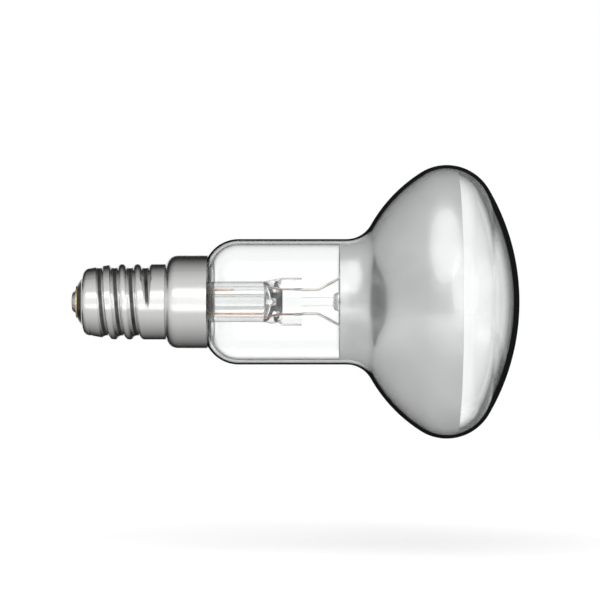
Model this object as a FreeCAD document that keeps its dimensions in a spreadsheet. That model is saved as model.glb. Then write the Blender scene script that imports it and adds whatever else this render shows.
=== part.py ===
import FreeCAD, Part
import math
import operator
import os
from types import SimpleNamespace

import Sketcher
from FreeCAD import Placement, Rotation, Vector

# Reflector bulb with a 50 mm head on a small screw cap.
# The frame: X runs along the bulb's axis from the contact's tip to the face, Z is up.
# Lengths are millimetres and angles are degrees.

driving_sizes = {
    # blown bulb, by its outer surface
    "overall_length": 81.7,
    "head_radius": 25.0,
    "face_radius": 40.6,
    "rim_radius": 8.8,
    "flare_radius": 27.2,
    "flare_lean": 57.68,
    "flare_fillet": 5.1,
    "neck_radius": 11.475,
    "neck_rise": 5.7,
    "neck_shoulder_radius": 6.5,
    "neck_slope": 68.0,
    "seal_radius": 6.9,
    "seal_fillet": 0.8,
    "seal_depth": 5.2,
    "glass_wall": 0.75,
    # mirror on the inside of the flare
    "mirror_overlap": 1.3,
    "mirror_reach": 19.9,
    "mirror_film": 0.12,
    "mirror_clearance": 0.05,
    # rolled cap
    "cap_height": 24.8,
    "skirt_radius": 8.5,
    "skirt_height": 7.6,
    "shell_wall": 0.3,
    "shoulder_slope": 60.0,
    "shoulder_radius": 2.2,
    "shoulder_fillet": 0.35,
    "lip_start": 2.0,
    "lip_hole_radius": 4.6,
    "lip_corner_radius": 1.3,
    "lip_outer_radius": 5.95,
    "taper_end": 7.6,
    "taper_blend": 12.0,
    # knuckle thread of the cap
    "thread_major_radius": 6.945,
    "thread_minor_radius": 6.145,
    "thread_pitch": 2.822,
    "thread_turns": 4.0,
    "thread_set_back": 3.42,
    "thread_end_angle": 50.0,
    "thread_run_out_turns": 0.16,
    "thread_run_out_rise": 0.9,
    "thread_crest_land": 0.02,
    "thread_bore_set_back": 2.01,
    "thread_bore_clearance": 0.03,
    "thread_inner_set_in": 1.947,
    "thread_overshoot": 0.5,
    # insulator and centre contact
    "insulator_nose": 1.1,
    "insulator_nose_radius": 3.3,
    "insulator_nose_corner": 0.4,
    "insulator_end": 4.2,
    "contact_plate_radius": 2.9,
    "contact_plate_thickness": 0.45,
    "contact_recess": 0.15,
    "contact_hole_radius": 0.6,
    "solder_radius": 2.2,
    "solder_corner": 0.55,
    "solder_top_radius": 1.6,
    # cement ring between cap and glass
    "cement_set_in": 0.6,
    "cement_set_back": 1.4,
    # stem
    "stem_rim_thickness": 0.7,
    "stem_rim_width": 0.9,
    "stem_tube_radius": 3.7,
    "stem_flare_length": 4.4,
    "stem_wall": 0.8,
    "stem_flare_radius": 4.0,
    "stem_mouth_radius": 5.45,
    "squeeze_length": 3.5,
    "press_length": 3.5,
    "press_shift": 0.45,
    "press_half_width": 4.4,
    "press_half_thickness": 1.45,
    "exhaust_radius": 1.4,
    "exhaust_wall": 0.45,
    "exhaust_reach": 6.0,
    "exhaust_tip_corner": 1.1,
    "exhaust_hole_radius": 0.6,
    "exhaust_outlet_radius": 0.5,
    "exhaust_hole_rise": 1.2,
    "rod_radius": 0.8,
    "rod_length": 5.8,
    "button_length": 2.4,
    "button_radius": 1.7,
    "button_corner": 0.8,
    # wires
    "lead_spacing": 4.4,
    "inner_lead_radius": 0.25,
    "seal_wire_radius": 0.2,
    "outer_lead_radius": 0.2,
    "fuse_radius": 0.1,
    "support_radius": 0.12,
    "seal_wire_set_in": 0.6,
    "seal_wire_cover": 1.4,
    "fuse_length": 6.1,
    "lead_rise": 3.0,
    "lead_arm": 6.0,
    "wire_bend_radius": 1.2,
    "support_root": 0.6,
    "support_set_back": 1.2,
    "support_reach": 3.0,
    "support_arm": 4.5,
    "centre_lead_drop": 1.2,
    "centre_lead_slant": 3.8,
    "side_lead_rise": 0.7,
    "side_lead_end": 7.9,
    "side_hole_clearance": 0.1,
    "side_solder_rise": 0.55,
    "side_solder_height": 7.5,
    "side_solder_radius": 0.95,
    # filament, an arc about the axis
    "filament_reach": 9.8,
    "filament_arc_radius": 6.5,
    "filament_radius": 0.3,
    "filament_end_angle": 8.0,
    "hook_clearance": 0.02,
}

full_turn = 360
half_turn = 180
support_angles = (45, 90, 135)

# how a sketch numbers its two axes, and the ends and the middle of a curve
horizontal_axis, vertical_axis = range(-1, -3, -1)
start_point, end_point, middle_point = range(1, 4)


class Size:
    # A number that also keeps the spreadsheet expression it comes from.
    def __init__(self, value, text):
        self.value = value
        self.text = text

    def __add__(self, other):
        return combine(self, "+", other)

    def __sub__(self, other):
        return combine(self, "-", other)

    def __mul__(self, other):
        return combine(self, "*", other)

    def __truediv__(self, other):
        return combine(self, "/", other)


signs = {"+": operator.add, "-": operator.sub, "*": operator.mul, "/": operator.truediv}


def as_size(number):
    return number if isinstance(number, Size) else Size(number, str(number))


def combine(left, sign, right):
    left = as_size(left)
    right = as_size(right)
    return Size(signs[sign](left.value, right.value), f"({left.text} {sign} {right.text})")


def of_angle(function, angle):
    return Size(getattr(math, function)(math.radians(angle.value)), f"{function}({angle.text})")


def root(square):
    return Size(math.sqrt(square.value), f"sqrt({square.text})")


doc = FreeCAD.newDocument("reflector_bulb")
sheet = doc.addObject("Spreadsheet::Sheet", "sizes")
for row, (name, number) in enumerate(driving_sizes.items(), start=1):
    sheet.set(f"A{row}", name)
    sheet.set(f"B{row}", str(number))
    sheet.setAlias(f"B{row}", name)
doc.recompute()
size = SimpleNamespace(**{name: Size(number, f"sizes.{name}") for name, number in driving_sizes.items()})
axis_place = as_size(0)


# Places along the axis. The head hangs on the overall length, the seal and the thread on the cap's
# rim, the filament on the neck's end, and the press stands midway between seal and filament.

face_center = size.overall_length - size.face_radius
rim_height = size.head_radius - size.rim_radius
rim_gap = size.face_radius - size.rim_radius
rim_center = face_center + root(rim_gap * rim_gap - rim_height * rim_height)
flare_gap = size.flare_radius - size.rim_radius
flare_center = rim_center + flare_gap * of_angle("cos", size.flare_lean)
flare_height = rim_height - flare_gap * of_angle("sin", size.flare_lean)
fillet_gap = size.flare_radius + size.flare_fillet
fillet_height = size.neck_radius + size.flare_fillet
fillet_drop = fillet_height - flare_height
neck_end = flare_center - root(fillet_gap * fillet_gap - fillet_drop * fillet_drop)
mirror_start = neck_end - size.mirror_overlap
mirror_end = neck_end + size.mirror_reach

neck_start = size.cap_height + size.neck_rise
seal_start = size.cap_height - size.seal_depth
shoulder_start = size.cap_height - size.skirt_height
thread_end = shoulder_start - size.thread_set_back
thread_bore_end = shoulder_start - size.thread_bore_set_back
side_lead_place = shoulder_start + size.side_lead_rise
side_solder_place = shoulder_start + size.side_solder_rise

filament_place = neck_end + size.filament_reach
press_middle = (seal_start + filament_place) / 2 + size.press_shift
press_start = press_middle - size.press_length / 2
press_end = press_middle + size.press_length / 2
stem_tube_start = seal_start + size.stem_flare_length
stem_tube_end = press_start - size.squeeze_length
exhaust_hole_place = stem_tube_end + size.exhaust_hole_rise
exhaust_tip = seal_start - size.exhaust_reach
button_start = press_end + size.rod_length
button_end = button_start + size.button_length

seal_wire_start = stem_tube_end + size.seal_wire_set_in
seal_wire_end = press_end - size.seal_wire_cover
fuse_start = seal_wire_start - size.fuse_length
lead_bend_start = press_end + size.lead_rise
lead_bend_end = filament_place - size.lead_arm
support_place = button_end - size.support_set_back
support_bend_end = filament_place - size.support_arm
centre_lead_turn = exhaust_tip - size.centre_lead_drop
centre_lead_axis = centre_lead_turn - size.centre_lead_slant


# Sketch helpers

def new_body(name):
    body = doc.addObject("PartDesign::Body", name)
    body.Label = name
    return body


def new_sketch(body, name, plane="XZ_Plane", offset=None):
    sketch = body.newObject("Sketcher::SketchObject", name)
    support = [item for item in body.Origin.OriginFeatures if item.Role == plane]
    sketch.AttachmentSupport = [(support[0], "")]
    sketch.MapMode = "FlatFace"
    if offset is not None:
        sketch.AttachmentOffset = Placement(Vector(0, 0, offset.value), Rotation())
        sketch.setExpression("AttachmentOffset.Base.z", offset.text)
    return sketch


def dimension(sketch, kind, where, number):
    value = math.radians(number.value) if kind == "Angle" else number.value
    index = sketch.addConstraint(Sketcher.Constraint(kind, *where, value))
    sketch.setExpression(f"Constraints[{index}]", number.text)


def place_point(sketch, geometry, end, x, y):
    # Pins one point of a sketch at its sizes, or on an axis where a size is nought.
    for kind, axis, number in (("DistanceX", vertical_axis, x), ("DistanceY", horizontal_axis, y)):
        if number.value == 0:
            sketch.addConstraint(Sketcher.Constraint("PointOnObject", geometry, end, axis))
        else:
            dimension(sketch, kind, (geometry, end), number)


def arc_between(center, radius, first, last, left_turn):
    # An arc of a path that runs from first to last, stored the way a sketch keeps arcs.
    start, end = (first, last) if left_turn else (last, first)
    start_angle = math.atan2(start.y - center.y, start.x - center.x)
    end_angle = math.atan2(end.y - center.y, end.x - center.x)
    if end_angle <= start_angle:
        end_angle += 2 * math.pi
    return Part.ArcOfCircle(Part.Circle(center, Vector(0, 0, 1), radius), start_angle, end_angle)


def joint_ends(left_turn):
    # The points where a path enters and leaves an arc.
    return (start_point, end_point) if left_turn else (end_point, start_point)


def outline(sketch, corners, closed=True):
    # Straight runs through corners (x, y) or (x, y, radius), rounded where a radius is given.
    count = len(corners)
    points = [(as_size(corner[0]), as_size(corner[1])) for corner in corners]
    spots = [Vector(x.value, y.value, 0) for x, y in points]
    arrive = list(spots)
    leave = list(spots)
    arcs = {}
    for number, corner in enumerate(corners):
        if len(corner) < 3:
            continue
        before = (spots[number] - spots[number - 1]).normalize()
        after = (spots[(number + 1) % count] - spots[number]).normalize()
        turn = math.atan2(before.x * after.y - before.y * after.x, before.dot(after))
        trim = corner[2].value * math.tan(abs(turn) / 2)
        arrive[number] = spots[number] - before * trim
        leave[number] = spots[number] + after * trim
        side = math.copysign(corner[2].value, turn)
        center = arrive[number] + Vector(-before.y, before.x, 0) * side
        arcs[number] = (center, corner[2], turn > 0)
    run_count = count if closed else count - 1
    runs = []
    for number in range(run_count):
        segment = Part.LineSegment(leave[number], arrive[(number + 1) % count])
        runs.append(sketch.addGeometry(segment))
    for number, (x, y) in enumerate(points):
        into = runs[number - 1] if closed or number > 0 else None
        out_of = runs[number] if number < run_count else None
        if number in arcs:
            center, radius, left_turn = arcs[number]
            curve = arc_between(center, radius.value, arrive[number], leave[number], left_turn)
            arc = sketch.addGeometry(curve)
            enter, exit_end = joint_ends(left_turn)
            corner = sketch.addGeometry(Part.Point(spots[number]), True)
            sketch.addConstraint(Sketcher.Constraint("Tangent", into, end_point, arc, enter))
            sketch.addConstraint(Sketcher.Constraint("Tangent", arc, exit_end, out_of, start_point))
            sketch.addConstraint(Sketcher.Constraint("PointOnObject", corner, start_point, into))
            sketch.addConstraint(Sketcher.Constraint("PointOnObject", corner, start_point, out_of))
            place_point(sketch, corner, start_point, x, y)
            dimension(sketch, "Radius", (arc,), radius)
        elif out_of is None:
            place_point(sketch, into, end_point, x, y)
        else:
            place_point(sketch, out_of, start_point, x, y)
            if into is not None:
                joint = (into, end_point, out_of, start_point)
                sketch.addConstraint(Sketcher.Constraint("Coincident", *joint))
    return runs


def revolve(body, sketch, name, kind="PartDesign::Revolution"):
    feature = body.newObject(kind, name)
    feature.Profile = sketch
    feature.ReferenceAxis = (sketch, ["H_Axis"])
    feature.Angle = full_turn
    return feature


def turned(name, corners):
    # A piece turned about the bulb's axis.
    body = new_body(name)
    sketch = new_sketch(body, f"{name}_outline")
    outline(sketch, corners)
    revolve(body, sketch, f"{name}_turned")
    return body


def round_bar(name, radius, first, last, height):
    # A straight round piece along the bulb's axis, at a height above it.
    bar = doc.addObject("Part::Cylinder", name)
    bar.Label = name
    bar.Placement = Placement(Vector(), Rotation(Vector(0, 1, 0), 90))
    bar.setExpression("Radius", radius.text)
    bar.setExpression("Height", (last - first).text)
    bar.setExpression("Placement.Base.x", first.text)
    bar.setExpression("Placement.Base.z", height.text)
    return bar


def cut(name, base, tools):
    # The base with the exact shape of the tools taken out of it.
    tool = tools[0]
    if len(tools) > 1:
        tool = doc.addObject("Part::MultiFuse", f"{name}_room")
        tool.Shapes = tools
    result = doc.addObject("Part::Cut", name)
    result.Base = base
    result.Tool = tool
    result.Label = name
    return result


# Bulb outline: seal tube, shoulder, neck, flare, rim and face, in tangent arcs

def bulb_outline(sketch, inset):
    # The outer outline moved inwards by the inset, closed along the axis. The arcs keep their centres.
    flare_fillet = size.flare_fillet + inset
    flare = size.flare_radius - inset
    rim = size.rim_radius - inset
    face = size.face_radius - inset
    seal_fillet = size.seal_fillet + inset
    shoulder = size.neck_shoulder_radius - inset
    seal = size.seal_radius - inset
    neck = size.neck_radius - inset
    apex = size.overall_length - inset
    slope = math.radians(size.neck_slope.value)

    face_middle = Vector(face_center.value, 0, 0)
    rim_middle = Vector(rim_center.value, rim_height.value, 0)
    flare_middle = Vector(flare_center.value, flare_height.value, 0)
    fillet_middle = Vector(neck_end.value, fillet_height.value, 0)
    shoulder_middle = Vector(neck_start.value, neck.value - shoulder.value, 0)
    slope_normal = Vector(-math.sin(slope), math.cos(slope), 0)
    slope_top = shoulder_middle + slope_normal * shoulder.value
    # the slope line runs down from the shoulder until the seal's fillet touches it
    drop = slope_top.y - seal.value - seal_fillet.value * (1 - slope_normal.y)
    slope_foot = slope_top - Vector(math.cos(slope), math.sin(slope), 0) * (drop / math.sin(slope))
    seal_middle = slope_foot + slope_normal * seal_fillet.value

    def from_middle(middle, other, radius):
        return middle + (other - middle).normalize() * radius

    seal_bottom = Vector(seal_start.value, 0, 0)
    seal_top = Vector(seal_start.value, seal.value, 0)
    seal_end = Vector(seal_middle.x, seal.value, 0)
    neck_first = Vector(neck_start.value, neck.value, 0)
    neck_last = Vector(neck_end.value, neck.value, 0)
    fillet_end = from_middle(fillet_middle, flare_middle, flare_fillet.value)
    flare_end = from_middle(rim_middle, flare_middle, -rim.value)
    rim_end = from_middle(rim_middle, face_middle, -rim.value)
    apex_spot = Vector(apex.value, 0, 0)

    path = [
        ("seal_face", Part.LineSegment(seal_bottom, seal_top), None),
        ("seal_tube", Part.LineSegment(seal_top, seal_end), None),
        ("seal_fillet", arc_between(seal_middle, seal_fillet.value, seal_end, slope_foot, True), True),
        ("slope", Part.LineSegment(slope_foot, slope_top), None),
        ("shoulder", arc_between(shoulder_middle, shoulder.value, slope_top, neck_first, False), False),
        ("neck", Part.LineSegment(neck_first, neck_last), None),
        ("fillet", arc_between(fillet_middle, flare_fillet.value, neck_last, fillet_end, True), True),
        ("flare", arc_between(flare_middle, flare.value, fillet_end, flare_end, False), False),
        ("rim", arc_between(rim_middle, rim.value, flare_end, rim_end, False), False),
        ("face", arc_between(face_middle, face.value, rim_end, apex_spot, False), False),
        ("axis", Part.LineSegment(apex_spot, seal_bottom), None),
    ]
    index = {}
    ends = {}
    for name, curve, left_turn in path:
        index[name] = sketch.addGeometry(curve)
        ends[name] = joint_ends(left_turn is not False)

    def join(kind, first, second):
        where = (index[first], ends[first][1], index[second], ends[second][0])
        sketch.addConstraint(Sketcher.Constraint(kind, *where))

    names = [name for name, curve, left_turn in path]
    join("Coincident", "seal_face", "seal_tube")
    for first, second in zip(names[1:-2], names[2:-1]):
        join("Tangent", first, second)
    join("Coincident", "face", "axis")
    join("Coincident", "axis", "seal_face")
    sketch.addConstraint(Sketcher.Constraint("Vertical", index["seal_face"]))
    sketch.addConstraint(Sketcher.Constraint("Horizontal", index["seal_tube"]))
    sketch.addConstraint(Sketcher.Constraint("Horizontal", index["neck"]))
    on_axis = (index["face"], middle_point, horizontal_axis)
    sketch.addConstraint(Sketcher.Constraint("PointOnObject", *on_axis))
    place_point(sketch, index["seal_face"], start_point, seal_start, axis_place)
    place_point(sketch, index["axis"], start_point, apex, axis_place)
    dimension(sketch, "DistanceY", (index["seal_tube"], end_point), seal)
    dimension(sketch, "DistanceX", (index["neck"], start_point), neck_start)
    dimension(sketch, "DistanceX", (index["neck"], end_point), neck_end)
    dimension(sketch, "DistanceY", (index["neck"], end_point), neck)
    dimension(sketch, "DistanceY", (index["rim"], middle_point), rim_height)
    dimension(sketch, "Angle", (index["slope"],), size.neck_slope)
    radii = {"seal_fillet": seal_fillet, "shoulder": shoulder, "fillet": flare_fillet}
    radii.update({"flare": flare, "rim": rim, "face": face})
    for name, radius in radii.items():
        dimension(sketch, "Radius", (index[name],), radius)


def bulb_layer(name, outside, inside):
    # The skin between two insets of the bulb's outline.
    body = new_body(name)
    outer = new_sketch(body, f"{name}_outside")
    bulb_outline(outer, outside)
    revolve(body, outer, f"{name}_solid")
    inner = new_sketch(body, f"{name}_inside")
    bulb_outline(inner, inside)
    revolve(body, inner, f"{name}_hollow", "PartDesign::Groove")
    return body


glass_envelope = bulb_layer("glass_envelope", as_size(0), size.glass_wall)

mirror_outside = size.glass_wall + size.mirror_clearance
mirror_blank = bulb_layer("mirror_blank", mirror_outside, mirror_outside + size.mirror_film)
mirror_zone = round_bar("mirror_zone", size.head_radius, mirror_start, mirror_end, axis_place)
mirror_coating = doc.addObject("Part::Common", "mirror_coating")
mirror_coating.Base = mirror_blank
mirror_coating.Tool = mirror_zone
mirror_coating.Label = "mirror_coating"


# Cap: a thin shell with a rounded lip, a knuckle thread, a shoulder and a plain skirt

land_radius = size.thread_major_radius - size.thread_crest_land
band_bore = land_radius - size.shell_wall
thread_bore = size.thread_minor_radius - size.shell_wall + size.thread_bore_clearance
skirt_bore = size.skirt_radius - size.shell_wall
shoulder_rise = (size.skirt_radius - land_radius) / of_angle("tan", size.shoulder_slope)
shoulder_top = shoulder_start + shoulder_rise
inner_shift = size.shell_wall * of_angle("tan", size.shoulder_slope / 2)
lip_inside = size.lip_start + size.shell_wall
lip_bore_radius = size.lip_corner_radius - size.shell_wall

cap_outside = [
    (size.lip_start, size.lip_hole_radius),
    (size.lip_start, size.lip_outer_radius, size.lip_corner_radius),
    (size.taper_end, land_radius, size.taper_blend),
    (shoulder_start, land_radius, size.shoulder_fillet),
    (shoulder_top, size.skirt_radius, size.shoulder_radius),
    (size.cap_height, size.skirt_radius),
]

cap_body = new_body("cap_body")
cap_outline = new_sketch(cap_body, "cap_outline")
outline(cap_outline, cap_outside + [
    (size.cap_height, skirt_bore),
    (shoulder_top + inner_shift, skirt_bore, size.shoulder_radius - size.shell_wall),
    (shoulder_start + inner_shift, band_bore, size.shoulder_fillet + size.shell_wall),
    (thread_bore_end, band_bore),
    (thread_bore_end, thread_bore),
    (lip_inside, thread_bore, lip_bore_radius),
    (lip_inside, size.lip_hole_radius),
])
revolve(cap_body, cap_outline, "cap_blank")


def wave_groove(name, place, deep, shallow, deep_radius, shallow_radius):
    # One groove of the knuckle thread, cut along its helix: a round bottom between the halves of
    # two round tops. Seen from inside the shell the bottom lies further out than the tops.
    sketch = new_sketch(cap_body, f"{name}_outline")
    half_pitch = size.thread_pitch / 2
    side = math.copysign(1, shallow.value - deep.value)
    reach = size.thread_overshoot if side > 0 else as_size(0) - size.thread_overshoot
    deep_center = deep + deep_radius if side > 0 else deep - deep_radius
    middle = Vector(place.value, deep_center.value, 0)
    edge = half_pitch.value - size.thread_crest_land.value
    rise = shallow_radius.value - math.sqrt(shallow_radius.value ** 2 - size.thread_crest_land.value ** 2)

    def top_center(direction):
        height = shallow.value - side * shallow_radius.value
        return Vector(place.value + direction * half_pitch.value, height, 0)

    def joint(direction):
        return middle + (top_center(direction) - middle).normalize() * deep_radius.value

    def top_end(direction):
        return Vector(place.value + direction * edge, shallow.value - side * rise, 0)

    def closing(direction):
        return Vector(top_end(direction).x, shallow.value + reach.value, 0)

    upright = side > 0
    curves = (
        arc_between(top_center(-1), shallow_radius.value, top_end(-1), joint(-1), not upright),
        arc_between(middle, deep_radius.value, joint(-1), joint(1), upright),
        arc_between(top_center(1), shallow_radius.value, joint(1), top_end(1), not upright),
        Part.LineSegment(top_end(1), closing(1)),
        Part.LineSegment(closing(1), closing(-1)),
        Part.LineSegment(closing(-1), top_end(-1)),
    )
    first, bottom, last, up, across, down = [sketch.addGeometry(curve) for curve in curves]
    top_enter, top_exit = joint_ends(not upright)
    bottom_enter, bottom_exit = joint_ends(upright)
    rules = (
        ("Tangent", first, top_exit, bottom, bottom_enter),
        ("Tangent", bottom, bottom_exit, last, top_enter),
        ("Coincident", last, top_exit, up, start_point),
        ("Coincident", up, end_point, across, start_point),
        ("Coincident", across, end_point, down, start_point),
        ("Coincident", down, end_point, first, top_enter),
        ("Vertical", up),
        ("Vertical", down),
        ("Horizontal", across),
    )
    for rule in rules:
        sketch.addConstraint(Sketcher.Constraint(*rule))
    dimension(sketch, "Radius", (first,), shallow_radius)
    dimension(sketch, "Radius", (bottom,), deep_radius)
    dimension(sketch, "Radius", (last,), shallow_radius)
    place_point(sketch, bottom, middle_point, place, deep_center)
    dimension(sketch, "DistanceX", (first, middle_point), place - half_pitch)
    dimension(sketch, "DistanceX", (last, middle_point), place + half_pitch)
    dimension(sketch, "DistanceX", (up, start_point), place + half_pitch - size.thread_crest_land)
    dimension(sketch, "DistanceX", (down, end_point), place - half_pitch + size.thread_crest_land)
    dimension(sketch, "DistanceY", (across, start_point), shallow + reach)

    helix = cap_body.newObject("PartDesign::SubtractiveHelix", name)
    helix.Profile = sketch
    helix.ReferenceAxis = (sketch, ["H_Axis"])
    return helix


thread_depth = size.thread_major_radius - size.thread_minor_radius
half_pitch_square = size.thread_pitch * size.thread_pitch / 4
knuckle_radius = (half_pitch_square + thread_depth * thread_depth) / (thread_depth * 4)
outer_wave = (size.thread_minor_radius, size.thread_major_radius, knuckle_radius, knuckle_radius)
inner_wave = (
    size.thread_major_radius - size.shell_wall,
    size.thread_minor_radius - size.shell_wall,
    knuckle_radius - size.shell_wall,
    knuckle_radius + size.shell_wall,
)


def full_turns(name, place, turns, wave):
    helix = wave_groove(name, place, *wave)
    helix.Mode = "pitch-turns-angle"
    helix.setExpression("Pitch", size.thread_pitch.text)
    helix.setExpression("Turns", turns.text)


full_turns("thread_groove", thread_end - size.thread_turns * size.thread_pitch,
           size.thread_turns, outer_wave)

run_out = wave_groove("thread_run_out", thread_end, *outer_wave)
run_out.Mode = "height-turns-growth"
run_out.setExpression("Height", (size.thread_pitch * size.thread_run_out_turns).text)
run_out.setExpression("Turns", size.thread_run_out_turns.text)
run_out.setExpression("Growth", (size.thread_run_out_rise / size.thread_run_out_turns).text)

# inside, the thread shows over its full-depth turns only
inner_start = size.taper_end + size.thread_inner_set_in
inner_turns = (thread_end + size.thread_pitch / 2 - inner_start) / size.thread_pitch
full_turns("thread_inside", inner_start, inner_turns, inner_wave)

# the full thread ends at an angle from the top towards the front
cap_body.Placement = Placement(Vector(), Rotation(Vector(1, 0, 0), size.thread_end_angle.value))

# the side wire leaves through a small hole in the shoulder
half_spacing = size.lead_spacing / 2
side_hole = doc.addObject("Part::Cylinder", "side_hole")
side_hole.Placement = Placement(Vector(), Rotation(Vector(1, 0, 0), -90))
side_hole.setExpression("Radius", (size.outer_lead_radius + size.side_hole_clearance).text)
side_hole.setExpression("Height", size.skirt_radius.text)
side_hole.setExpression("Placement.Base.x", side_lead_place.text)
side_hole.setExpression("Placement.Base.y", (size.skirt_radius / 2).text)
side_hole.setExpression("Placement.Base.z", (as_size(0) - half_spacing).text)
cap_shell = cut("cap_shell", cap_body, [side_hole])


# Insulator and centre contact

plate_front = size.insulator_nose + size.contact_recess - size.contact_plate_thickness
plate_back = size.insulator_nose + size.contact_recess

contact_insulator = turned("contact_insulator", [
    (plate_back, size.contact_hole_radius),
    (plate_back, size.contact_plate_radius),
    (size.insulator_nose, size.contact_plate_radius),
    (size.insulator_nose, size.insulator_nose_radius, size.insulator_nose_corner),
    (size.lip_start, size.lip_hole_radius),
    (lip_inside, size.lip_hole_radius),
    (lip_inside, thread_bore, lip_bore_radius),
    (size.insulator_end, thread_bore),
    (size.insulator_end, size.contact_hole_radius),
])

contact_plate = turned("contact_plate", [
    (plate_front, size.contact_hole_radius),
    (plate_front, size.contact_plate_radius),
    (plate_back, size.contact_plate_radius),
    (plate_back, size.contact_hole_radius),
])

contact_solder = turned("contact_solder", [
    (0, 0),
    (0, size.solder_top_radius, size.solder_corner),
    (plate_front, size.solder_radius),
    (plate_front, 0),
])


# Wires, each swept along straight runs with tangent bends

def bent_wire(name, radius, corners, start_plane="YZ_Plane", hook=None):
    # A wire through corners of its own X and Z plane; a hook adds a half loop at its end.
    body = new_body(name)
    route = new_sketch(body, f"{name}_route")
    runs = outline(route, corners, closed=False)
    if hook is not None:
        hook_x, hook_y = corners[-1]
        center = Vector(hook_x.value, hook_y.value - hook.value, 0)
        above = center + Vector(0, hook.value, 0)
        below = center - Vector(0, hook.value, 0)
        loop = route.addGeometry(arc_between(center, hook.value, above, below, False))
        route.addConstraint(Sketcher.Constraint("Tangent", runs[-1], end_point, loop, end_point))
        route.addConstraint(Sketcher.Constraint("Vertical", loop, start_point, loop, middle_point))
        dimension(route, "Radius", (loop,), hook)
    across, along = as_size(corners[0][0]), as_size(corners[0][1])
    if start_plane == "YZ_Plane":
        section = new_sketch(body, f"{name}_section", start_plane, across)
        spot = (as_size(0), along)
    else:
        section = new_sketch(body, f"{name}_section", start_plane, along)
        spot = (across, as_size(0))
    circle = Part.Circle(Vector(spot[0].value, spot[1].value, 0), Vector(0, 0, 1), radius.value)
    ring = section.addGeometry(circle)
    place_point(section, ring, middle_point, *spot)
    dimension(section, "Radius", (ring,), radius)
    pipe = body.newObject("PartDesign::AdditivePipe", f"{name}_wire")
    pipe.Profile = section
    pipe.Spine = route
    return body


def turn_about_axis(body, angle):
    # Angles are counted from the top towards the back.
    body.Placement = Placement(Vector(), Rotation(Vector(1, 0, 0), -angle))


def inner_lead(name, angle):
    hook = size.filament_radius + size.inner_lead_radius + size.hook_clearance
    hook_line = size.filament_arc_radius + hook
    lead = bent_wire(name, size.inner_lead_radius, [
        (seal_wire_end, half_spacing),
        (lead_bend_start, half_spacing, size.wire_bend_radius),
        (lead_bend_end, hook_line, size.wire_bend_radius),
        (filament_place, hook_line),
    ], hook=hook)
    turn_about_axis(lead, angle)
    return lead


def support_wire(name, angle):
    hook = size.filament_radius + size.support_radius + size.hook_clearance
    hook_line = size.filament_arc_radius + hook
    support = bent_wire(name, size.support_radius, [
        (support_place, size.support_root),
        (support_place, size.support_reach, size.wire_bend_radius),
        (support_bend_end, hook_line, size.wire_bend_radius),
        (filament_place, hook_line),
    ], start_plane="XY_Plane", hook=hook)
    turn_about_axis(support, angle)
    return support


inner_leads = [inner_lead("inner_lead_top", 0), inner_lead("inner_lead_bottom", 180)]
supports = [
    support_wire(f"support_wire_{number}", angle) for number, angle in enumerate(support_angles, start=1)
]

below_axis = as_size(0) - half_spacing
seal_wires = [
    round_bar("seal_wire_top", size.seal_wire_radius, seal_wire_start, seal_wire_end, half_spacing),
    round_bar("seal_wire_bottom", size.seal_wire_radius, seal_wire_start, seal_wire_end, below_axis),
]
fuse_link = round_bar("fuse_link", size.fuse_radius, fuse_start, seal_wire_start, half_spacing)

outer_lead_centre = bent_wire("outer_lead_centre", size.outer_lead_radius, [
    (fuse_start, half_spacing),
    (centre_lead_turn, half_spacing, size.wire_bend_radius),
    (centre_lead_axis, 0, size.wire_bend_radius),
    (plate_front, 0),
])

outer_lead_side = bent_wire("outer_lead_side", size.outer_lead_radius, [
    (seal_wire_start, 0),
    (side_lead_place, 0, size.wire_bend_radius),
    (side_lead_place, size.side_lead_end),
])
turn_about_axis(outer_lead_side, 90)
outer_lead_side.setExpression("Placement.Base.z", below_axis.text)


# Solder in the step of the cap, where the side wire comes out

solder_height = size.side_solder_height
sideways = root(solder_height * solder_height - half_spacing * half_spacing)
solder_ball = doc.addObject("Part::Sphere", "solder_ball")
solder_ball.setExpression("Radius", size.side_solder_radius.text)
solder_ball.setExpression("Placement.Base.x", side_solder_place.text)
solder_ball.setExpression("Placement.Base.y", sideways.text)
solder_ball.setExpression("Placement.Base.z", below_axis.text)
cap_solid = turned("cap_solid", cap_outside + [(size.cap_height, 0), (size.lip_start, 0)])
side_solder = cut("side_solder", solder_ball, [cap_solid, outer_lead_side])


# Cement ring between the seal tube and the skirt

cement_start = seal_start + size.cement_set_in
cement_end = size.cap_height - size.cement_set_back
capping_cement = turned("capping_cement", [
    (cement_start, size.seal_radius),
    (cement_start, skirt_bore),
    (cement_end, skirt_bore),
    (cement_end, size.seal_radius),
])


# Stem: a flared tube, pressed flat at its top around the wires

stem_body = new_body("stem_body")
stem_outline = new_sketch(stem_body, "stem_outline")
stem_bore = size.stem_tube_radius - size.stem_wall
stem_mouth = seal_start - size.stem_rim_thickness
outline(stem_outline, [
    (stem_mouth, size.seal_radius),
    (seal_start, size.seal_radius),
    (seal_start, size.seal_radius - size.stem_rim_width),
    (stem_tube_start, size.stem_tube_radius, size.stem_flare_radius),
    (stem_tube_end, size.stem_tube_radius),
    (stem_tube_end, stem_bore),
    (stem_tube_start, stem_bore, size.stem_flare_radius + size.stem_wall),
    (stem_mouth, size.stem_mouth_radius),
])
revolve(stem_body, stem_outline, "stem_tube")


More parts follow.
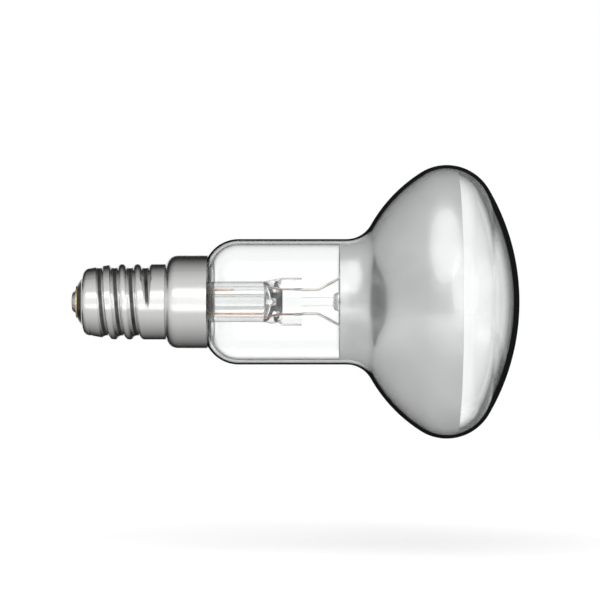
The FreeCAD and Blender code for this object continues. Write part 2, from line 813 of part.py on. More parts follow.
def ellipse_section(body, name, place, half_width, half_thickness):
    # An ellipse across the axis, wide along Z; a circle where both halves are equal.
    sketch = new_sketch(body, name, "YZ_Plane", place)
    if half_width.value > half_thickness.value:
        wide = Vector(0, half_width.value, 0)
        thin = Vector(-half_thickness.value, 0, 0)
        curve = sketch.addGeometry(Part.Ellipse(wide, thin, Vector()))
        sketch.exposeInternalGeometry(curve)
        wide_axis = curve + 1
        thin_axis = curve + 2
        sketch.addConstraint(Sketcher.Constraint("Vertical", wide_axis))
        dimension(sketch, "Distance", (wide_axis,), half_width * 2)
        dimension(sketch, "Distance", (thin_axis,), half_thickness * 2)
    else:
        circle = Part.Circle(Vector(), Vector(0, 0, 1), half_width.value)
        curve = sketch.addGeometry(circle)
        dimension(sketch, "Radius", (curve,), half_width)
    at_origin = (curve, middle_point, horizontal_axis, start_point)
    sketch.addConstraint(Sketcher.Constraint("Coincident", *at_origin))
    return sketch


round_end = ellipse_section(stem_body, "stem_round_end", stem_tube_end,
                            size.stem_tube_radius, size.stem_tube_radius)
round_end.AttachmentOffset = Placement(Vector(0, 0, stem_tube_end.value), Rotation(90, 0, 0))
flat_end = ellipse_section(stem_body, "stem_flat_end", press_start,
                           size.press_half_width, size.press_half_thickness)
squeeze = stem_body.newObject("PartDesign::AdditiveLoft", "stem_squeeze")
squeeze.Profile = round_end
squeeze.Sections = [flat_end]
press_outline = ellipse_section(stem_body, "press_outline", press_start,
                                size.press_half_width, size.press_half_thickness)
press = stem_body.newObject("PartDesign::Pad", "stem_press")
press.Profile = press_outline
press.setExpression("Length", size.press_length.text)

exhaust_way = round_bar("exhaust_way", size.exhaust_hole_radius, stem_tube_end,
                        exhaust_hole_place + size.exhaust_hole_radius, axis_place)
exhaust_outlet = doc.addObject("Part::Cylinder", "exhaust_outlet")
exhaust_outlet.Placement = Placement(Vector(), Rotation(Vector(1, 0, 0), 90))
exhaust_outlet.setExpression("Radius", size.exhaust_outlet_radius.text)
exhaust_outlet.setExpression("Height", (size.stem_tube_radius * 2).text)
exhaust_outlet.setExpression("Placement.Base.x", exhaust_hole_place.text)
stem_flare = cut("stem_flare", stem_body, [
    exhaust_way, exhaust_outlet, fuse_link, outer_lead_side, *seal_wires, *inner_leads,
])

exhaust_bore = size.exhaust_radius - size.exhaust_wall
tip_inside = exhaust_tip + size.exhaust_wall * 2
exhaust_tube = turned("exhaust_tube", [
    (exhaust_tip, 0),
    (exhaust_tip, size.exhaust_radius, size.exhaust_tip_corner),
    (stem_tube_end, size.exhaust_radius),
    (stem_tube_end, exhaust_bore),
    (tip_inside, exhaust_bore),
    (tip_inside, 0),
])

rod_blank = turned("rod_blank", [
    (press_end, 0),
    (press_end, size.rod_radius),
    (button_start, size.rod_radius),
    (button_start, size.button_radius, size.button_corner),
    (button_end, size.button_radius, size.button_corner),
    (button_end, 0),
])
arbor_rod = cut("arbor_rod", rod_blank, supports)


# Filament: the coil's outer form, an arc about the axis from lead to lead

filament = doc.addObject("Part::Torus", "filament")
filament.Label = "filament"
filament_end = size.filament_end_angle
start_turn = Rotation(Vector(1, 0, 0), filament_end.value) * Rotation(Vector(0, 1, 0), -90)
filament.Placement = Placement(Vector(), start_turn)
filament.setExpression("Placement.Base.x", filament_place.text)
filament.setExpression("Radius1", size.filament_arc_radius.text)
filament.setExpression("Radius2", size.filament_radius.text)
filament.setExpression("Angle3", (filament_end * 2 + half_turn).text)


# Check and write

doc.recompute()
nodes = [
    glass_envelope, mirror_coating, cap_shell, contact_insulator, contact_plate, contact_solder,
    side_solder, capping_cement, stem_flare, exhaust_tube, arbor_rod, fuse_link, outer_lead_centre,
    outer_lead_side, filament, *seal_wires, *inner_leads, *supports,
]
for item in doc.Objects:
    if "Invalid" in item.State or "Error" in item.State:
        raise RuntimeError(f"{item.Name} did not build: {item.State}")
for node in nodes:
    shape = node.Shape
    if shape.isNull() or not shape.isValid() or len(shape.Solids) != 1:
        raise RuntimeError(f"{node.Label} is not one valid solid")

os.makedirs("parts", exist_ok=True)
for node in nodes:
    node.Shape.exportStep(f"parts/{node.Label}.step")
    print(f"{node.Label}: {node.Shape.Volume:.2f} cubic mm")
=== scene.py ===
import bpy
import math
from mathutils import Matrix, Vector


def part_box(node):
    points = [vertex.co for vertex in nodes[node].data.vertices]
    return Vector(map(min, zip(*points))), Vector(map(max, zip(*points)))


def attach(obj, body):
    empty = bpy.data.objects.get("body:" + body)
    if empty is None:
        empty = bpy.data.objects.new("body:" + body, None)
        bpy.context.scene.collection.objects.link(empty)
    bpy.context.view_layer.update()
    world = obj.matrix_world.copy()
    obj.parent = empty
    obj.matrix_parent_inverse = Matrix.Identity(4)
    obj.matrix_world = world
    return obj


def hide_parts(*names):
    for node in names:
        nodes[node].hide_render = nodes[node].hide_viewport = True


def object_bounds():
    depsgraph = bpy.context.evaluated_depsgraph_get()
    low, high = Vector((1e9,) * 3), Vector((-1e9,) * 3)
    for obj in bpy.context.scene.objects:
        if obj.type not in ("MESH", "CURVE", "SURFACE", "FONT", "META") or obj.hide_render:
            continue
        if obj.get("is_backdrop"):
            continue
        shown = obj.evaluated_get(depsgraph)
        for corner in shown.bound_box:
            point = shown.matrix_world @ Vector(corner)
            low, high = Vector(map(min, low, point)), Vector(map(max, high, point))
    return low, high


# Reflector bulb with a small screw cap, lying along x with the cap at the low end.
# The values below are in millimetres and degrees, the scene itself is in metres.

millimetre = 0.001

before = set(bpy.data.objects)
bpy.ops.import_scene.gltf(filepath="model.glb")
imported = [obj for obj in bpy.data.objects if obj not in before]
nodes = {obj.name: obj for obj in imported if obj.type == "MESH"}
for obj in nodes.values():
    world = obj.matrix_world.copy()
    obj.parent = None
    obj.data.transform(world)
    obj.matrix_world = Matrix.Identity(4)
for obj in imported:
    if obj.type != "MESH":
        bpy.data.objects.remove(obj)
cadLow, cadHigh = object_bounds()
print("frame loaded:", len(nodes), "nodes")


# Shader maths: a Field is a socket that takes part in sums, a Shader is the tree it belongs to

class Field:
    def __init__(self, shader, socket):
        self.shader = shader
        self.socket = socket

    def __add__(self, other):
        return self.shader.maths("ADD", self, other)

    def __radd__(self, other):
        return self.shader.maths("ADD", other, self)

    def __sub__(self, other):
        return self.shader.maths("SUBTRACT", self, other)

    def __rsub__(self, other):
        return self.shader.maths("SUBTRACT", other, self)

    def __mul__(self, other):
        return self.shader.maths("MULTIPLY", self, other)

    def __rmul__(self, other):
        return self.shader.maths("MULTIPLY", other, self)

    def __truediv__(self, other):
        return self.shader.maths("DIVIDE", self, other)

    def __rtruediv__(self, other):
        return self.shader.maths("DIVIDE", other, self)

    def __pow__(self, other):
        return self.shader.maths("POWER", self, other)

    def __rpow__(self, other):
        return self.shader.maths("POWER", other, self)

    def __neg__(self):
        return 0 - self

    def __abs__(self):
        return self.shader.maths("ABSOLUTE", self)

    def __round__(self):
        return self.shader.maths("ROUND", self)


class Shader:
    def __init__(self, owner):
        self.owner = owner
        owner.use_nodes = True
        self.tree = owner.node_tree
        self.tree.nodes.clear()

    def add(self, kind, settings=None, sockets=None, output=0):
        # any node: first its settings, then the value or link of each socket
        node = self.tree.nodes.new(kind)
        for name, value in (settings or {}).items():
            setattr(node, name, value)
        for name, value in (sockets or {}).items():
            if isinstance(value, Field):
                self.tree.links.new(value.socket, node.inputs[name])
            else:
                node.inputs[name].default_value = value
        return Field(self, node.outputs[output]) if node.outputs else None

    def maths(self, operation, first, second=0):
        return self.add("ShaderNodeMath", {"operation": operation}, {0: first, 1: second})

    def most(self, first, second):
        return self.maths("MAXIMUM", first, second)

    def least(self, first, second):
        return self.maths("MINIMUM", first, second)

    def place(self):
        # object coordinates in millimetres
        metres = self.add("ShaderNodeTexCoord", output="Object")
        sockets = {0: metres, "Scale": 1 / millimetre}
        return self.add("ShaderNodeVectorMath", {"operation": "SCALE"}, sockets)

    def stretch(self, vector, along, across):
        # scaled along the bulb's axis and across it
        sockets = {0: vector, 1: (along, across, across)}
        return self.add("ShaderNodeVectorMath", {"operation": "MULTIPLY"}, sockets)

    def parts(self, vector):
        node = self.add("ShaderNodeSeparateXYZ", sockets={0: vector}).socket.node
        return [Field(self, socket) for socket in node.outputs]

    def seenWhite(self):
        # 1 for what the camera sees directly, in a reflection or through glass
        rays = self.add("ShaderNodeLightPath").socket.node.outputs
        names = ("Is Camera Ray", "Is Glossy Ray", "Is Transmission Ray")
        camera, glossy, through = [Field(self, rays[name]) for name in names]
        return self.most(self.most(camera, glossy), through)

    def noise(self, vector, scale, detail=3, roughness=0.5):
        sockets = {"Vector": vector, "Scale": scale, "Detail": detail, "Roughness": roughness}
        return self.add("ShaderNodeTexNoise", sockets=sockets)

    def ramp(self, field, low, high, newLow=0, newHigh=1):
        # smooth step from newLow at low to newHigh at high
        sockets = {0: field, 1: low, 2: high, 3: newLow, 4: newHigh}
        return self.add("ShaderNodeMapRange", {"interpolation_type": "SMOOTHSTEP"}, sockets)

    def blend(self, factor, first, second):
        # the colour sockets of a Mix node are 6 and 7, its colour output is 2
        sockets = {0: factor, 6: first, 7: second}
        return self.add("ShaderNodeMix", {"data_type": "RGBA"}, sockets, output=2)

    def bump(self, height, depth):
        # the height runs from 0 to 1, the depth is in millimetres
        sockets = {"Height": height, "Distance": depth * millimetre}
        return self.add("ShaderNodeBump", sockets=sockets)

    def principled(self, sockets):
        return self.add("ShaderNodeBsdfPrincipled", sockets=sockets)

    def metal(self, tone, roughness, normal):
        sockets = {"Base Color": tone, "Metallic": 1.0, "Roughness": roughness, "Normal": normal}
        return self.show(self.principled(sockets))

    def glow(self, level):
        # light of its own, from black at 0 to white at 1
        return self.add("ShaderNodeEmission", sockets={"Color": self.blend(level, grey(0), grey(1))})

    def mixShader(self, factor, first, second):
        return self.add("ShaderNodeMixShader", sockets={0: factor, 1: first, 2: second})

    def show(self, surface):
        self.add("ShaderNodeOutputMaterial", sockets={0: surface})
        return self.owner


def newFinish(name):
    return Shader(bpy.data.materials.new(name))


def grey(level):
    return (level, level, level, 1)


def between(share, low, high):
    # from low at 0 to high at 1, in a straight line
    return low + share * (high - low)


def linkNew(name, data):
    item = bpy.data.objects.new(name, data)
    bpy.context.scene.collection.objects.link(item)
    return item


def meshPiece(name, vertices, faces, sharpAngle=35):
    mesh = bpy.data.meshes.new(name)
    mesh.from_pydata(vertices, [], faces)
    mesh.shade_smooth()
    mesh.set_sharp_from_angle(angle=math.radians(sharpAngle))
    return linkNew(name, mesh)


def dress(names, material):
    for name in names:
        piece = nodes[name]
        piece.data.materials.clear()
        piece.data.materials.append(material)


def standFor(piece, node, material):
    # the piece is seen in place of a node, which keeps the same finish
    piece.data.materials.append(material)
    dress([node], material)
    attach(piece, "root")
    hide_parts(node)


# Blown bulb: both skins turned from one outline of tangent arcs

bulbShape = {
    "headRadius": 25.0,
    "faceRadius": 40.6,
    "rimRadius": 8.8,
    "flareRadius": 27.2,
    "flareLean": 57.68,
    "filletRadius": 5.1,
    "neckRadius": 11.475,
    "neckStart": 30.5,
    "neckParts": 8,
    "shoulderRadius": 6.5,
    "shoulderSlope": 68.0,
    "sealRadius": 6.9,
    "sealFillet": 0.8,
    "sealStep": 0.1125,
    "wall": 0.75,
    "arcStep": 0.45,
    "slices": 224,
    "onAxis": 0.000001,  # a radius below this is a point on the axis
}


def bearing(start, end):
    return math.degrees(math.atan2(end[1] - start[1], end[0] - start[0]))


def arcPoints(center, radius, first, last, step):
    # points along an arc between two angles
    count = max(2, round(abs(math.radians(last - first)) * radius / step))
    points = []
    for number in range(count + 1):
        angle = math.radians(first + (last - first) * number / count)
        points.append((center[0] + radius * math.cos(angle), center[1] + radius * math.sin(angle)))
    return points


def bulbCenters(shape, apex):
    # the middle of each arc, from the seal to the face, worked out so that the arcs are tangent
    face, rim, flare = shape["faceRadius"], shape["rimRadius"], shape["flareRadius"]
    rimHeight = shape["headRadius"] - rim
    faceCenter = (apex - face, 0)
    rimCenter = (faceCenter[0] + math.sqrt((face - rim) ** 2 - rimHeight ** 2), rimHeight)
    lean = math.radians(shape["flareLean"])
    flareCenter = (rimCenter[0] + (flare - rim) * math.cos(lean),
                   rimHeight - (flare - rim) * math.sin(lean))

    neck, fillet = shape["neckRadius"], shape["filletRadius"]
    filletHeight = neck + fillet
    reach = math.sqrt((flare + fillet) ** 2 - (filletHeight - flareCenter[1]) ** 2)
    filletCenter = (flareCenter[0] - reach, filletHeight)

    shoulder, seal, sealFillet = shape["shoulderRadius"], shape["sealRadius"], shape["sealFillet"]
    slope = math.radians(shape["shoulderSlope"])
    shoulderCenter = (shape["neckStart"], neck - shoulder)
    slopeTop = shoulderCenter[1] + shoulder * math.cos(slope)
    drop = slopeTop - seal - sealFillet * (1 - math.cos(slope))
    slopeFoot = shoulderCenter[0] - shoulder * math.sin(slope) - drop / math.tan(slope)
    sealCenter = (slopeFoot - sealFillet * math.sin(slope), seal + sealFillet)
    return sealCenter, shoulderCenter, filletCenter, flareCenter, rimCenter, faceCenter


def bulbOutline(shape, sealEnd, apex, inset):
    # from the seal's open end over neck, flare and rim to the apex, moved inwards by the inset
    seal, shoulder, fillet, flare, rim, face = bulbCenters(shape, apex)
    slope, lean = shape["shoulderSlope"], shape["flareLean"]
    flareTurn, rimTurn = bearing(fillet, flare), bearing(face, rim)
    step, neckParts = shape["arcStep"], shape["neckParts"]
    neckStart, neckLength = shoulder[0], fillet[0] - shoulder[0]
    outline = [(sealEnd, shape["sealRadius"] - inset)]
    outline += arcPoints(seal, shape["sealFillet"] + inset, -90, slope - 90, shape["sealStep"])
    outline += arcPoints(shoulder, shape["shoulderRadius"] - inset, 90 + slope, 90, step)
    outline += [(neckStart + neckLength * part / neckParts, shape["neckRadius"] - inset)
                for part in range(1, neckParts)]
    outline += arcPoints(fillet, shape["filletRadius"] + inset, -90, flareTurn, step)
    outline += arcPoints(flare, shape["flareRadius"] - inset, 180 + flareTurn, 180 - lean, step)[1:]
    outline += arcPoints(rim, shape["rimRadius"] - inset, 180 - lean, rimTurn, step)[1:]
    outline += arcPoints(face, shape["faceRadius"] - inset, rimTurn, 0, step)[1:]
    return outline


def turnedSkins(name, shape, outer, inner):
    # a closed shell: out along the outer outline, back along the inner one, both end on the axis
    slices = shape["slices"]
    vertices = []
    rings = []
    for x, radius in outer + inner[::-1]:
        if abs(radius) < shape["onAxis"]:
            rings.append([len(vertices)])
            vertices.append(Vector((x, 0, 0)) * millimetre)
            continue
        rings.append(list(range(len(vertices), len(vertices) + slices)))
        for number in range(slices):
            angle = math.tau * number / slices
            point = Vector((x, radius * math.cos(angle), radius * math.sin(angle)))
            vertices.append(point * millimetre)
    faces = []
    for ring, following in zip(rings, rings[1:] + rings[:1]):
        if len(ring) == len(following) == 1:
            continue
        for number in range(slices):
            after = (number + 1) % slices
            if len(following) == 1:
                faces.append((ring[number], ring[after], following[0]))
            elif len(ring) == 1:
                faces.append((ring[0], following[after], following[number]))
            else:
                faces.append((ring[number], ring[after], following[after], following[number]))
    return meshPiece(name, vertices, faces)


sealEnd, apex = [corner.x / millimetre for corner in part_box("glass_envelope")]
bulbOutside = bulbOutline(bulbShape, sealEnd, apex, 0)
bulbInside = bulbOutline(bulbShape, sealEnd, apex, bulbShape["wall"])
blownBulb = turnedSkins("blown_bulb", bulbShape, bulbOutside, bulbInside)


# Glass: clear in the middle, with a painted dark outline where the wall is seen edge-on, which is
# painted shade

glassLook = {
    "clear": (0.985, 0.992, 0.99, 1),
    "index": 1.5,
    # the edge tone is the painted shade of the glass's dark outline
    "edge": (0.010, 0.011, 0.011, 1),
    "edgeRoughness": 0.5,
    "edgePower": 9.0,
    "edgeStrength": 9.0,
    "rippleScale": 0.12,
    "rippleDepth": 0.02,
}

# the stem glass gets a weaker painted dark outline
stemLook = glassLook | {"edgePower": 2.5, "edgeStrength": 1.0}


def glassFinish(name, look):
    finish = newFinish(name)
    ripple = finish.noise(finish.place(), look["rippleScale"], detail=1)
    normal = finish.bump(ripple, look["rippleDepth"])
    clear = finish.principled({"Base Color": look["clear"], "Roughness": 0.0, "Normal": normal,
                               "Transmission Weight": 1.0, "IOR": look["index"]})
    # painted shade: a near-black surface, mixed in where the glass is seen edge-on, draws the dark
    # outline
    edge = finish.principled({"Base Color": look["edge"], "Roughness": look["edgeRoughness"],
                              "Specular IOR Level": 0.0, "Normal": normal})
    edgeOn = finish.add("ShaderNodeLayerWeight", sockets={"Blend": 0.5}, output="Facing")
    rim = finish.least(edgeOn ** look["edgePower"] * look["edgeStrength"], 1)
    return finish.show(finish.mixShader(rim, clear, edge))


standFor(blownBulb, "glass_envelope", glassFinish("clearGlass", glassLook))
dress(["stem_flare", "exhaust_tube", "arbor_rod"], glassFinish("stemGlass", stemLook))
print("glass done:", len(blownBulb.data.polygons), "faces")


# Mirror film inside the flare

mirrorLook = {
    "light": grey(0.62),
    "dark": grey(0.56),
    "cloudScale": 0.15,
    "cloudSpread": (0.3, 0.7),
    "outsideRoughness": (0.34, 0.42),
    "insideRoughness": (0.10, 0.16),
    "grainScale": 9.0,
    "grainDepth": 0.003,
}


def mirrorFinish(look):
    finish = newFinish("silverMirror")
    place = finish.place()
    cloud = finish.noise(place, look["cloudScale"], detail=4)
    grain = finish.noise(place, look["grainScale"], detail=2)
    tone = finish.blend(cloud, look["light"], look["dark"])
    # satin where the film is seen through the glass, bright on the side that faces the filament
    y, z = finish.parts(place)[1:]
    normalY, normalZ = finish.parts(finish.add("ShaderNodeTexCoord", output="Normal"))[1:]
    inwards = finish.ramp(normalY * y + normalZ * z, 1, -1)
    satin = finish.ramp(cloud, *look["cloudSpread"], *look["outsideRoughness"])
    bright = finish.ramp(cloud, *look["cloudSpread"], *look["insideRoughness"])
    roughness = between(inwards, satin, bright)
    return finish.metal(tone, roughness, finish.bump(grain, look["grainDepth"]))


dress(["mirror_coating"], mirrorFinish(mirrorLook))
print("mirror done")


# Rolled cap: bright metal with fine rings, with painted shade in the thread's valleys

capLook = {
    "bright": (0.86, 0.86, 0.85, 1),
    "worn": grey(0.66),
    "roughness": 0.18,
    "ringStretch": (4, 0.2),
    "ringShare": 0.3,
    "ringDepth": 0.004,
    "scratchScale": 1.6,
    "scratchSpread": (0.35, 0.75),
    "scratchRoughness": 0.08,
    # the dark tone and its added roughness are painted shade in the thread's valleys
    "dark": (0.045, 0.044, 0.042, 1),
    "darkRoughness": 0.3,
    "pitch": 2.822,
    "valleyPlace": 5.63,
    "valleyWidth": (0.22, 0.5),
    "threadStart": (3.4, 4.0),
    "threadEnd": (3.035, 2.995),
    "patchScale": 0.5,
    "patchSpread": (0.3, 0.75),
    "patchShare": (0.9, 1),
}


def capFinish(look):
    finish = newFinish("capMetal")
    place = finish.place()
    x, y, z = finish.parts(place)
    # the valleys lie on a right-hand helix, the middle of one at valleyPlace on the front
    turn = finish.maths("ARCTAN2", z, -y) / math.tau
    shift = (x - look["valleyPlace"]) / look["pitch"] + turn
    valleyNumber = round(shift)
    offMiddle = abs(shift - valleyNumber) * look["pitch"]
    narrow, wide = look["valleyWidth"]
    valley = finish.ramp(offMiddle, wide, narrow)
    # they start at a place along the axis, in millimetres, and end at one along the helix, in turns
    started = finish.ramp(x, *look["threadStart"])
    notEnded = finish.ramp(valleyNumber - turn, *look["threadEnd"])
    patches = finish.noise(place, look["patchScale"])
    patches = finish.ramp(patches, *look["patchSpread"], *look["patchShare"])
    # painted shade: the metal is darkened in patches along the thread's valleys
    paintedValleyShade = valley * (started * notEnded) * patches
    rings = finish.noise(finish.stretch(place, *look["ringStretch"]), 1.0, detail=4)
    scratches = finish.noise(place, look["scratchScale"], detail=6, roughness=0.7)
    scratches = finish.ramp(scratches, *look["scratchSpread"])
    clean = finish.blend(rings * look["ringShare"], look["bright"], look["worn"])
    tone = finish.blend(paintedValleyShade, clean, look["dark"])
    roughness = look["roughness"] + scratches * look["scratchRoughness"]
    roughness = roughness + paintedValleyShade * look["darkRoughness"]
    return finish.metal(tone, roughness, finish.bump(rings, look["ringDepth"]))


dress(["cap_shell"], capFinish(capLook))


# Black moulded glass round the centre contact

insulatorLook = {
    "dark": (0.012, 0.012, 0.014, 1),
    "pale": (0.03, 0.028, 0.034, 1),
    "swirlScale": 0.9,
    "gloss": 0.3,
    "roughness": (0.12, 0.34),
    "smearScale": 3.0,
    "smearSpread": (0.35, 0.8),
    "rippleScale": 1.6,
    "rippleDepth": 0.03,
}


def insulatorFinish(look):
    finish = newFinish("blackGlass")
    place = finish.place()
    swirl = finish.noise(place, look["swirlScale"], detail=5)
    smear = finish.noise(place, look["smearScale"])
    ripple = finish.noise(place, look["rippleScale"])
    return finish.show(finish.principled({
        "Base Color": finish.blend(swirl, look["dark"], look["pale"]),
        "Roughness": finish.ramp(smear, *look["smearSpread"], *look["roughness"]),
        "Specular IOR Level": look["gloss"],
        "Normal": finish.bump(ripple, look["rippleDepth"]),
    }))


dress(["contact_insulator"], insulatorFinish(insulatorLook))


# Stamped brass plate, stained, with fine grain

brassLook = {
    "clean": (0.80, 0.62, 0.32, 1),
    "stained": (0.52, 0.35, 0.16, 1),
    "stainScale": 1.1,
    "stainSpread": (0.35, 0.75),
    "roughness": (0.24, 0.42),
    "grainScale": 7.0,
    "grainDepth": 0.01,
}


def brassFinish(look):
    finish = newFinish("contactBrass")
    place = finish.place()
    stain = finish.ramp(finish.noise(place, look["stainScale"], detail=5), *look["stainSpread"])
    tone = finish.blend(stain, look["clean"], look["stained"])
    roughness = finish.ramp(stain, 0, 1, *look["roughness"])
    grain = finish.noise(place, look["grainScale"])
    return finish.metal(tone, roughness, finish.bump(grain, look["grainDepth"]))


dress(["contact_plate"], brassFinish(brassLook))


# Tin solder on the plate and at the cap's shoulder, frosted and slightly wrinkled

solderLook = {
    "bright": (0.72, 0.72, 0.73, 1),
    "frosted": (0.50, 0.50, 0.52, 1),
    "frostScale": 6.0,
    "frostSpread": (0.35, 0.7),
    "roughness": (0.26, 0.46),
    "wrinkleScale": 1.5,
    "wrinkleDepth": 0.14,
}


def solderFinish(look):
    finish = newFinish("tinSolder")
    place = finish.place()
    frost = finish.ramp(finish.noise(place, look["frostScale"]), *look["frostSpread"])
    tone = finish.blend(frost, look["bright"], look["frosted"])
    roughness = finish.ramp(frost, 0, 1, *look["roughness"])
    wrinkle = finish.noise(place, look["wrinkleScale"], detail=6, roughness=0.62)
    return finish.metal(tone, roughness, finish.bump(wrinkle, look["wrinkleDepth"]))


dress(["contact_solder", "side_solder"], solderFinish(solderLook))


# Baked cement between cap and glass, porous, with painted shade in the pores

cementLook = {
    "pale": (0.62, 0.55, 0.43, 1),
    "stained": (0.46, 0.40, 0.31, 1),
    "stainScale": 0.5,
    "paintedPoreShade": (0.25, 0.21, 0.16, 1),
    "poreScale": 3.2,
    "poreSpread": (0.35, 0.6),
    "poreDepth": 0.12,
    "roughness": (0.75, 0.95),
}


def cementFinish(look):
    finish = newFinish("bakedCement")
    place = finish.place()
    solid = finish.noise(place, look["poreScale"], detail=6, roughness=0.7)
    solid = finish.ramp(solid, *look["poreSpread"])
    body = finish.blend(finish.noise(place, look["stainScale"]), look["pale"], look["stained"])
    return finish.show(finish.principled({
        # painted shade: the pores, low in the bump, are painted dark
        "Base Color": finish.blend(solid, look["paintedPoreShade"], body),
        "Roughness": between(solid, *look["roughness"]),
        "Normal": finish.bump(solid, look["poreDepth"]),
    }))


dress(["capping_cement"], cementFinish(cementLook))
print("cap finishes done")


# Wires: drawn metal, streaked along their length

drawnLook = {
    "streakStretch": (0.4, 9),
    "streakRoughness": 0.2,
    "streakDepth": 0.008,
    "stainScale": 0.8,
    "stainSpread": (0.35, 0.7),
}

wireLooks = {
    "nickelWire": {"nodes": ["inner_lead_top", "inner_lead_bottom", "fuse_link"],
                   "light": (0.62, 0.59, 0.54, 1), "dark": (0.40, 0.38, 0.34, 1),
                   "roughness": 0.24},
    "copperWire": {"nodes": ["outer_lead_centre", "outer_lead_side"],
                   "light": (0.80, 0.42, 0.25, 1), "dark": (0.48, 0.21, 0.11, 1),
                   "roughness": 0.25},
    "sealWire": {"nodes": ["seal_wire_top", "seal_wire_bottom"],
                 "light": (0.62, 0.16, 0.08, 1), "dark": (0.34, 0.06, 0.04, 1),
                 "roughness": 0.3},
    "supportWire": {"nodes": ["support_wire_1", "support_wire_2", "support_wire_3"],
                    "light": (0.42, 0.42, 0.43, 1), "dark": (0.24, 0.24, 0.25, 1),
                    "roughness": 0.3},
}


def wireFinish(name, look):
    finish = newFinish(name)
    place = finish.place()
    streak = finish.noise(finish.stretch(place, *look["streakStretch"]), 1.0, detail=4)
    stain = finish.ramp(finish.noise(place, look["stainScale"], detail=4), *look["stainSpread"])
    tone = finish.blend(stain, look["light"], look["dark"])
    roughness = look["roughness"] + streak * look["streakRoughness"]
    return finish.metal(tone, roughness, finish.bump(streak, look["streakDepth"]))


for wireName, wireLook in wireLooks.items():
    dress(wireLook["nodes"], wireFinish(wireName, drawnLook | wireLook))
print("wires done")


# Filament: a fine coil bent in an arc about the axis, hung in the hooks

filamentLook = {
    "wireRadius": 0.042,
    "coilPitch": 0.135,
    "stepsPerTurn": 14,
    "wireSides": 6,
    "light": (0.30, 0.30, 0.32, 1),
    "dark": (0.13, 0.13, 0.15, 1),
    "heatScale": 0.35,
    "grainScale": 14.0,
    "grainDepth": 0.004,
    "roughness": (0.3, 0.45),
}


def tube(name, path, radius, sides):
    # a closed mesh tube along a list of points, with its frame carried along the path
    vertices = []
    faces = []
    count = len(path)
    normal = None
    for number, point in enumerate(path):
        before = path[max(number - 1, 0)]
        after = path[min(number + 1, count - 1)]
        along = (after - before).normalized()
        if normal is None:
            normal = along.orthogonal().normalized()
        normal = (normal - along * normal.dot(along)).normalized()
        across = along.cross(normal)
        for side in range(sides):
            angle = math.tau * side / sides
            outward = normal * math.cos(angle) + across * math.sin(angle)
            vertices.append(point + outward * radius)
    for number in range(count - 1):
        for side in range(sides):
            first = number * sides + side
            second = number * sides + (side + 1) % sides
            faces.append((first, second, second + sides, first + sides))
    faces.append(tuple(range(sides))[::-1])
    faces.append(tuple(range((count - 1) * sides, count * sides)))
    return meshPiece(name, vertices, faces, sharpAngle=80)


def filamentCoil(look):
    # wound inside the node's solid: its box gives the coil's radius, the arc's radius and its ends
    low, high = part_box("filament")
    coilRadius = (high.x - low.x) / 2
    arcRadius = high.z - coilRadius
    endAngle = math.asin((-low.y - coilRadius) / arcRadius)
    middle = Vector(((low.x + high.x) / 2, 0, 0))
    wireRadius = look["wireRadius"] * millimetre
    windRadius = coilRadius - wireRadius
    sweep = math.pi + 2 * endAngle
    turns = round(sweep * arcRadius / (look["coilPitch"] * millimetre))
    steps = turns * look["stepsPerTurn"]
    path = []
    for step in range(steps + 1):
        share = step / steps
        angle = sweep * share - endAngle
        outward = Vector((0, math.sin(angle), math.cos(angle)))
        wind = math.tau * turns * share
        offset = outward * math.cos(wind) + Vector((1, 0, 0)) * math.sin(wind)
        path.append(middle + outward * arcRadius + offset * windRadius)
    return tube("filament_coil", path, wireRadius, look["wireSides"])


def tungstenFinish(look):
    finish = newFinish("tungstenWire")
    place = finish.place()
    heat = finish.noise(place, look["heatScale"], detail=2)
    grain = finish.noise(place, look["grainScale"])
    tone = finish.blend(heat, look["light"], look["dark"])
    roughness = between(grain, *look["roughness"])
    return finish.metal(tone, roughness, finish.bump(grain, look["grainDepth"]))


coil = filamentCoil(filamentLook)
standFor(coil, "filament", tungstenFinish(filamentLook))
print("filament done:", len(coil.data.polygons), "faces")


# Stage: white surroundings, a pale floor, soft lamps and cards that only reflections see

stageLook = {
    "floorHeight": -46.0,
    "floorSize": 1600.0,
    "floorTones": (grey(0.9), grey(0.92)),
    "floorToneScale": 0.02,
    "floorRoughness": 0.9,
    "floorGloss": 0.1,
    "floorGlow": (0.34, 0.7),
    "glowChange": (50.0, 150.0),
    "floorFade": (150.0, 420.0),
    "ambient": 0.55,
    "white": 1.0,
}

lampLooks = {
    "keyLamp": {"place": (-80, -360, 440), "width": 800, "power": 1.5},
    "fillLamp": {"place": (300, -420, 100), "width": 600, "power": 0.7},
}

cardLooks = {
    "upperCard": {"place": (40, 25, 62), "turn": (0, 0, 0), "size": (700, 350),
                  "tone": (0.7, 0.02), "change": (-85, 30), "fadeStart": 0.6},
    "lowerCard": {"place": (40, 25, -44), "turn": (0, 0, 0), "size": (700, 350),
                  "tone": (0.7, 0.02), "change": (-85, 30), "fadeStart": 0.6},
    "leftCard": {"place": (-190, 60, 0), "turn": (0, -90, 0), "size": (380, 600),
                 "tone": (0.85, 0.5), "change": (-200, 0), "fadeStart": 0.6},
}


def flatPiece(name, width, depth):
    x, y = width / 2 * millimetre, depth / 2 * millimetre
    return meshPiece(name, [(-x, -y, 0), (x, -y, 0), (x, y, 0), (-x, y, 0)], [(0, 1, 2, 3)])


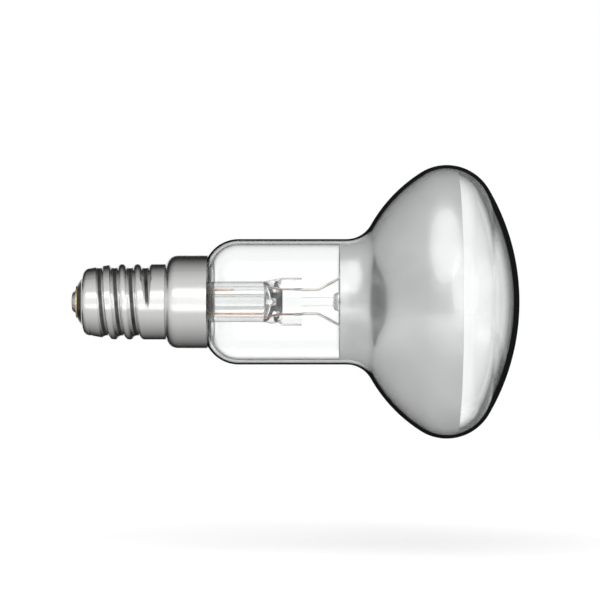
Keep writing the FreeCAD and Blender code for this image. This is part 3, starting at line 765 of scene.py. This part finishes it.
def makeFloor(look):
    floor = flatPiece("floor", look["floorSize"], look["floorSize"])
    floor.location = Vector(((cadLow.x + cadHigh.x) / 2, 0, look["floorHeight"] * millimetre))
    finish = newFinish("paleFloor")
    place = finish.place()
    x, y = finish.parts(place)[:2]
    away = (x * x + y * y) ** 0.5
    tone = finish.blend(finish.noise(place, look["floorToneScale"]), *look["floorTones"])
    paper = finish.principled({"Base Color": tone, "Roughness": look["floorRoughness"],
                               "Specular IOR Level": look["floorGloss"]})
    glow = finish.ramp(away, *look["glowChange"], *look["floorGlow"]) * finish.seenWhite()
    glowing = finish.add("ShaderNodeAddShader", sockets={0: paper, 1: finish.glow(glow)})
    # the floor ends softly, and from beneath it hides nothing
    beneath = finish.add("ShaderNodeNewGeometry", output="Backfacing")
    fade = finish.most(finish.ramp(away, *look["floorFade"]), beneath)
    surface = finish.mixShader(fade, glowing, finish.add("ShaderNodeBsdfTransparent"))
    floor.data.materials.append(finish.show(surface))
    floor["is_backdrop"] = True


def makeWorld(look):
    world = bpy.data.worlds.new("whiteRoom")
    bpy.context.scene.world = world
    room = Shader(world)
    tone = room.blend(room.seenWhite(), grey(look["ambient"]), grey(look["white"]))
    sky = room.add("ShaderNodeBackground", sockets={"Color": tone, "Strength": 1.0})
    room.add("ShaderNodeOutputWorld", sockets={0: sky})


def makeLamp(name, look):
    light = bpy.data.lights.new(name, "AREA")
    light.shape = "DISK"
    light.size = look["width"] * millimetre
    light.energy = look["power"]
    lamp = linkNew(name, light)
    lamp.location = Vector(look["place"]) * millimetre
    middle = (cadLow + cadHigh) / 2
    lamp.rotation_euler = (middle - lamp.location).to_track_quat("-Z", "Y").to_euler()


def makeCard(name, look):
    # the tone runs across the card, from front to back, and every edge fades out
    width, depth = look["size"]
    card = flatPiece(name, width, depth)
    card.location = Vector(look["place"]) * millimetre
    card.rotation_euler = [math.radians(angle) for angle in look["turn"]]
    card.visible_camera = False
    card.visible_diffuse = False
    card.visible_shadow = False
    card.visible_transmission = False
    finish = newFinish(name)
    x, y = finish.parts(finish.place())[:2]
    level = finish.ramp(y, *look["change"], *look["tone"])
    outwards = finish.most(abs(x) / (width / 2), abs(y) / (depth / 2))
    fade = finish.ramp(outwards, look["fadeStart"], 1)
    surface = finish.mixShader(fade, finish.glow(level), finish.add("ShaderNodeBsdfTransparent"))
    card.data.materials.append(finish.show(surface))
    card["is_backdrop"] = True


makeFloor(stageLook)
makeWorld(stageLook)
for lampName, lampLook in lampLooks.items():
    makeLamp(lampName, lampLook)
for cardName, cardLook in cardLooks.items():
    makeCard(cardName, cardLook)
print("stage done")


# Camera: level, square to the bulb's axis, framed as in the drawing

cameraView = {
    "lens": 150.0,
    "sensor": 36.0,
    "frameWidth": 109.77,
    "middle": (41.69, 0.33),
}


def makeCamera(view):
    data = bpy.data.cameras.new("camera")
    data.lens = view["lens"]
    data.sensor_width = view["sensor"]
    camera = linkNew("camera", data)
    distance = view["frameWidth"] * view["lens"] / view["sensor"]
    x, z = view["middle"]
    camera.location = Vector((x, -distance, z)) * millimetre
    camera.rotation_euler = (math.pi / 2, 0, 0)
    bpy.context.scene.camera = camera


makeCamera(cameraView)
bpy.context.scene.view_settings.view_transform = "Standard"
print("camera done")

sizes = {"cad": [list(cadLow), list(cadHigh)], "visual": [list(corner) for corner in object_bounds()]}
